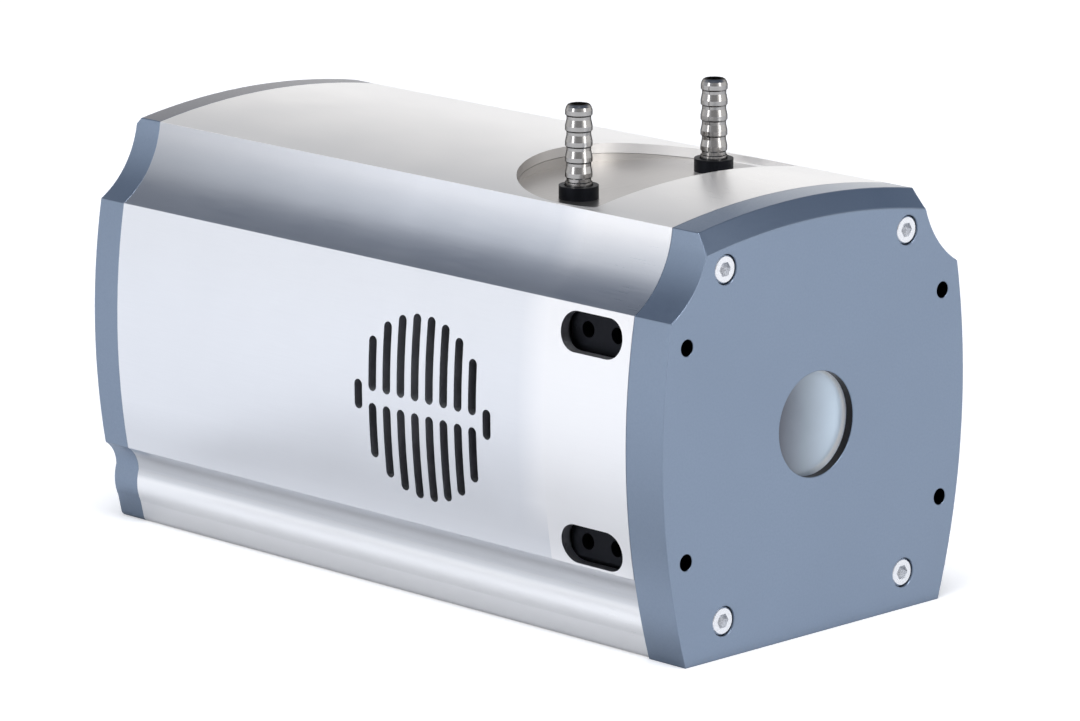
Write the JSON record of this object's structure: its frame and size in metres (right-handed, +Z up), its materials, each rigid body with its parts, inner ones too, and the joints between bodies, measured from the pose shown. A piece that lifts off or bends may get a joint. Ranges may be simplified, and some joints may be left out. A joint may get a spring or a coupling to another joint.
{
  "type": "cooled astronomy camera",
  "caption": "Deep-cooled astronomy camera: extruded casing, round front window, hose barbs and slotted fan grille.",
  "frame": {"origin": "centre of the window aperture in the front plate's face", "axes": "-Y looks out through the window, +Y runs back along the casing, +Z is up"},
  "size_m": [0.13, 0.258, 0.1545],
  "materials": {
    "plate_blue": "satin blue-grey anodised",
    "casing_silver": "satin silver anodised",
    "deck_silver": "brushed",
    "black_anodised": "matt black anodised",
    "bright_steel": "bright",
    "barb_nickel": "bright nickel plate",
    "window_glass": "coated flat window",
    "seal_rubber": "matt",
    "silicon": "polished",
    "ceramic": "fired",
    "copper": "machined",
    "brass": "gold plated",
    "sink_aluminium": "machined",
    "fan_plastic": "moulded",
    "bracket_black": "powder coat",
    "laminate": "solder mask",
    "chip_black": "moulded",
    "socket_metal": "nickel plate"
  },
  "bodies": {
    "camera": {"front_plate": "plate_blue", "rear_plate": "plate_blue", "front_plate_screws": "bright_steel", "rear_plate_screws": "bright_steel", "window_disc": "window_glass", "window_seal": "seal_rubber", "chamber_seal": "seal_rubber", "front_housing": "casing_silver", "main_casing": "casing_silver", "hose_deck": "deck_silver", "chamber_body": "black_anodised", "sensor_die": "silicon", "sensor_package": "ceramic", "cold_block": "copper", "peltier_stack": "ceramic", "heat_sink": "sink_aluminium", "heat_sink_screws": "bright_steel", "water_manifold": "sink_aluminium", "manifold_screws": "bright_steel", "hose_barb_left": "barb_nickel", "hose_barb_right": "barb_nickel", "barb_collars": "black_anodised", "fan_frame": "fan_plastic", "fan_bearing": "brass", "fan_stator": "copper", "fan_bracket": "bracket_black", "fan_screws": "bright_steel", "exhaust_duct": "bracket_black", "bracket_screws": "bright_steel", "duct_screws": "bright_steel", "chassis_rods": "bright_steel", "board_spacers": "sink_aluminium", "board_nuts": "bright_steel", "readout_board": "laminate", "control_board": "laminate", "power_board": "laminate", "readout_components": "chip_black", "control_components": "chip_black", "power_components": "chip_black", "power_inlet": "socket_metal", "data_socket": "socket_metal", "trigger_sockets": "brass"},
    "rotor": {"fan_rotor": "fan_plastic"}
  },
  "joints": [
    {"name": "fan_spin", "type": "hinge", "parent": "camera", "child": "rotor", "pos_m": [-0.0517, 0.1006, -0.0017], "axis": [-1, 0, 0], "continuous": true}
  ]
}
